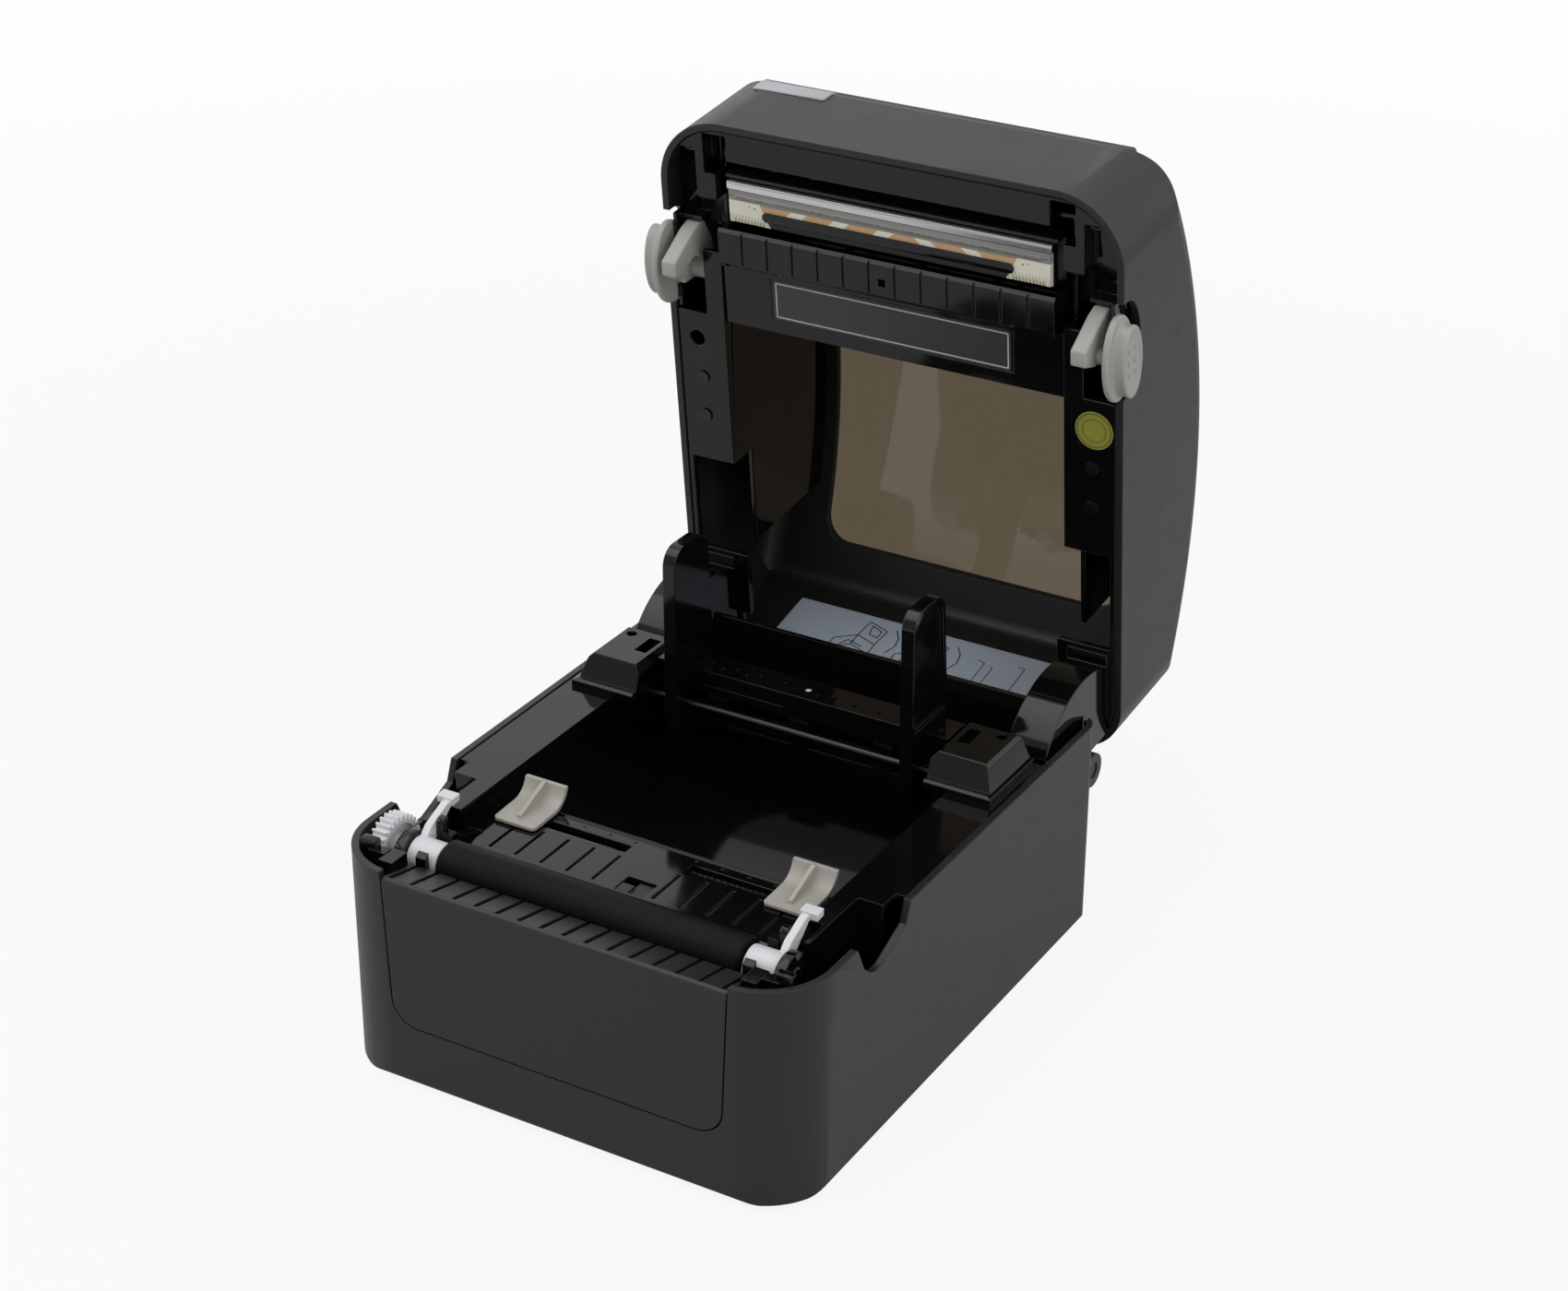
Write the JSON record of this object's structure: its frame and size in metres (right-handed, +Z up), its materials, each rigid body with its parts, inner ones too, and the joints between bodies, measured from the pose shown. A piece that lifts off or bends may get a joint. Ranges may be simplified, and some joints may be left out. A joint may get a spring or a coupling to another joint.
{
  "type": "thermal label printer",
  "caption": "Desktop thermal label printer with its clamshell lid open, showing roll holder fins, print head, platen drive, label guides and a smoked window.",
  "frame": {"origin": "centre of the casing's flat underside, which stands on the rubber feet", "axes": "+X to the right seen from the front, +Y to the rear where the sockets are, +Z up"},
  "size_m": [0.195, 0.3045, 0.2852],
  "materials": {
    "base_shell": "fine satin texture",
    "inner_chassis": "glossy black moulding",
    "roll_bin": "glossy black moulding",
    "front_panel": "fine satin texture",
    "rubber_feet": "ground black rubber",
    "base_screws": "bright steel",
    "main_board": "green circuit board",
    "dc_inlet": "glossy black moulding",
    "usb_port": "bright steel",
    "power_switch": "glossy black moulding",
    "power_switch_bezel": "glossy black moulding",
    "platen_rubber": "ground black rubber",
    "platen_shaft": "bright steel",
    "platen_gear": "natural white acetal",
    "platen_lever_left": "natural white acetal",
    "platen_lever_right": "natural white acetal",
    "idler_gear": "natural white acetal",
    "idler_stud": "bright steel",
    "motor_pinion": "bright steel",
    "stepper_motor": "bright steel",
    "motor_bracket": "bright steel",
    "sensor_deck": "glossy black moulding",
    "label_sensor": "natural white acetal",
    "label_guide_left": "satin light grey",
    "label_guide_right": "satin light grey",
    "guide_pinion": "natural white acetal",
    "roll_beam": "glossy black moulding",
    "roll_rod": "bright steel",
    "roll_block_left": "glossy black moulding",
    "roll_block_right": "glossy black moulding",
    "roll_fin_left": "glossy black moulding",
    "roll_fin_right": "glossy black moulding",
    "roll_pinion": "natural white acetal",
    "block_screws": "bright steel",
    "hinge_pins": "bright steel",
    "lid_shell": "fine satin texture",
    "lid_frame": "glossy black moulding",
    "lid_window": "smoked clear plastic",
    "hinge_arm_left": "glossy black moulding",
    "hinge_arm_right": "glossy black moulding",
    "sensor_strip": "glossy black moulding",
    "clean_plate": "glossy black moulding",
    "head_bracket": "glossy black moulding",
    "head_heatsink": "bare aluminium",
    "head_substrate": "glazed ceramic",
    "head_chip_cover": "glossy black moulding",
    "head_springs": "bright steel",
    "lid_screws": "bright steel",
    "latch_shaft": "bright steel",
    "latch_left": "satin grey",
    "latch_right": "satin grey",
    "latch_springs": "bright steel",
    "button_board": "green circuit board",
    "feed_button": "satin grey",
    "status_light": "clear light pipe"
  },
  "bodies": {
    "base": {"base_shell": "base_shell", "inner_chassis": "inner_chassis", "roll_bin": "roll_bin", "front_panel": "front_panel", "rubber_feet": "rubber_feet", "base_screws": "base_screws", "main_board": "main_board", "dc_inlet": "dc_inlet", "usb_port": "usb_port", "power_switch_bezel": "power_switch_bezel", "idler_stud": "idler_stud", "stepper_motor": "stepper_motor", "motor_bracket": "motor_bracket", "sensor_deck": "sensor_deck", "label_sensor": "label_sensor", "roll_beam": "roll_beam", "roll_rod": "roll_rod", "roll_block_left": "roll_block_left", "roll_block_right": "roll_block_right", "block_screws": "block_screws", "hinge_pins": "hinge_pins"},
    "lid": {"lid_shell": "lid_shell", "lid_frame": "lid_frame", "lid_window": "lid_window", "hinge_arm_left": "hinge_arm_left", "hinge_arm_right": "hinge_arm_right", "sensor_strip": "sensor_strip", "clean_plate": "clean_plate", "lid_screws": "lid_screws", "latch_springs": "latch_springs", "button_board": "button_board", "status_light": "status_light"},
    "latches": {"latch_left": "latch_left", "latch_right": "latch_right", "latch_shaft": "latch_shaft"},
    "print_head": {"head_bracket": "head_bracket", "head_heatsink": "head_heatsink", "head_substrate": "head_substrate", "head_chip_cover": "head_chip_cover", "head_springs": "head_springs"},
    "platen": {"platen_rubber": "platen_rubber", "platen_shaft": "platen_shaft", "platen_gear": "platen_gear"},
    "idler": {"idler_gear": "idler_gear"},
    "motor_pinion": {"motor_pinion": "motor_pinion"},
    "platen_lever_left": {"platen_lever_left": "platen_lever_left"},
    "platen_lever_right": {"platen_lever_right": "platen_lever_right"},
    "guide_left": {"label_guide_left": "label_guide_left"},
    "guide_right": {"label_guide_right": "label_guide_right"},
    "guide_pinion": {"guide_pinion": "guide_pinion"},
    "fin_left": {"roll_fin_left": "roll_fin_left"},
    "fin_right": {"roll_fin_right": "roll_fin_right"},
    "fin_pinion": {"roll_pinion": "roll_pinion"},
    "feed_button": {"feed_button": "feed_button"},
    "power_switch": {"power_switch": "power_switch"}
  },
  "joints": [
    {"name": "lid_hinge", "type": "hinge", "parent": "base", "child": "lid", "pos_m": [0, 0.1073, 0.0612], "axis": [1, 0, 0], "range_deg": [0, 83.9]},
    {"name": "latch_pivot", "type": "hinge", "parent": "lid", "child": "latches", "pos_m": [0, 0.1205, 0.2178], "axis": [-1, 0, 0], "range_deg": [0, 5], "stiffness_Nm_per_rad": 0.5, "springref_deg": -5.73},
    {"name": "head_float", "type": "slide", "parent": "lid", "child": "print_head", "axis": [0, 0.9944, 0.1058], "range_m": [0, 0.0012], "stiffness_N_per_m": 1500, "springref_m": -0.002},
    {"name": "platen_spin", "type": "hinge", "parent": "base", "child": "platen", "pos_m": [0, -0.082, 0.074], "axis": [1, 0, 0], "continuous": true},
    {"name": "idler_spin", "type": "hinge", "parent": "base", "child": "idler", "pos_m": [0, -0.07046, 0.04926], "axis": [1, 0, 0], "continuous": true},
    {"name": "pinion_spin", "type": "hinge", "parent": "base", "child": "motor_pinion", "pos_m": [0, -0.06001, 0.03116], "axis": [1, 0, 0], "continuous": true},
    {"name": "lever_left", "type": "hinge", "parent": "base", "child": "platen_lever_left", "pos_m": [-0.067, -0.082, 0.074], "axis": [-1, 0, 0], "range_deg": [-60, 0]},
    {"name": "lever_right", "type": "hinge", "parent": "base", "child": "platen_lever_right", "pos_m": [0.067, -0.082, 0.074], "axis": [-1, 0, 0], "range_deg": [-60, 0]},
    {"name": "guide_left_slide", "type": "slide", "parent": "base", "child": "guide_left", "axis": [1, 0, 0], "range_m": [-0.002, 0.036]},
    {"name": "guide_right_slide", "type": "slide", "parent": "base", "child": "guide_right", "axis": [1, 0, 0], "range_m": [-0.036, 0.002]},
    {"name": "guide_pinion_turn", "type": "hinge", "parent": "base", "child": "guide_pinion", "pos_m": [0, -0.043, 0.069], "axis": [0, 0, 1], "range_deg": [-29, 516]},
    {"name": "fin_left_slide", "type": "slide", "parent": "base", "child": "fin_left", "axis": [1, 0, 0], "range_m": [-0.002, 0.038]},
    {"name": "fin_right_slide", "type": "slide", "parent": "base", "child": "fin_right", "axis": [1, 0, 0], "range_m": [-0.038, 0.002]},
    {"name": "fin_pinion_turn", "type": "hinge", "parent": "base", "child": "fin_pinion", "pos_m": [0, 0.058, 0.086], "axis": [0, 0, 1], "range_deg": [-39, 726]},
    {"name": "feed_press", "type": "slide", "parent": "lid", "child": "feed_button", "axis": [0, -0.8664, -0.4993], "range_m": [0, 0.0012], "stiffness_N_per_m": 300, "springref_m": -0.001},
    {"name": "power_rocker", "type": "hinge", "parent": "base", "child": "power_switch", "pos_m": [0.032, 0.105, 0.024], "axis": [0, 0, -1], "range_deg": [0, 16]}
  ],
  "couplings": [
    {"joint": "idler_spin", "follows": "platen_spin", "ratio": -0.7},
    {"joint": "pinion_spin", "follows": "platen_spin", "ratio": 2.3333},
    {"joint": "guide_right_slide", "follows": "guide_left_slide", "ratio": -1},
    {"joint": "guide_pinion_turn", "follows": "guide_left_slide", "rad_per_m": 250},
    {"joint": "fin_right_slide", "follows": "fin_left_slide", "ratio": -1},
    {"joint": "fin_pinion_turn", "follows": "fin_left_slide", "rad_per_m": 333.33}
  ]
}
